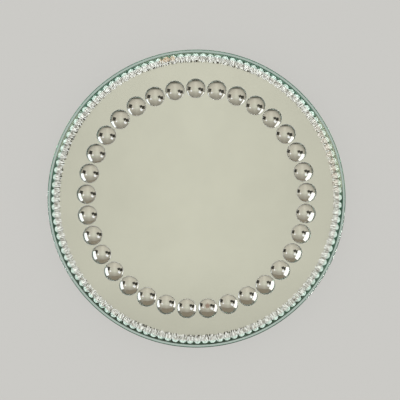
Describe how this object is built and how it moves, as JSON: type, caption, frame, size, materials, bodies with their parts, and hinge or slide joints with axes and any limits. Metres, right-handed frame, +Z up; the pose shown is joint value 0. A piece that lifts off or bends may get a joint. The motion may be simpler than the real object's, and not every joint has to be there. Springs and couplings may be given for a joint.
{
  "type": "mirror tray",
  "caption": "Round frameless mirror tray: thick plate glass silvered behind, with a ring of ground bullseyes and a fluted rim, bedded on a backing board with screwed rubber feet.",
  "frame": {"origin": "on the surface that the tray stands on, under its middle", "axes": "+Z up, square to the mirror; +Y to the far side, which is the top of the picture; +X to the right"},
  "size_m": [0.3046, 0.3046, 0.0245],
  "materials": {
    "silvered_glass": "polished plate glass, greenish at the edge, silvered and painted behind",
    "backing_board": "board painted dark green",
    "mastic": "cured mirror mastic",
    "foot_rubber": "moulded matt black rubber",
    "steel": "zinc plated steel"
  },
  "bodies": {
    "root": {"mirror_glass": "silvered_glass", "base_board": "backing_board", "mastic_pad_1": "mastic", "mastic_pad_2": "mastic", "mastic_pad_3": "mastic", "mastic_pad_4": "mastic", "mastic_pad_5": "mastic", "mastic_pad_6": "mastic", "foot_1": "foot_rubber", "foot_washer_1": "steel", "foot_screw_1": "steel", "foot_2": "foot_rubber", "foot_washer_2": "steel", "foot_screw_2": "steel", "foot_3": "foot_rubber", "foot_washer_3": "steel", "foot_screw_3": "steel", "foot_4": "foot_rubber", "foot_washer_4": "steel", "foot_screw_4": "steel"}
  },
  "joints": []
}
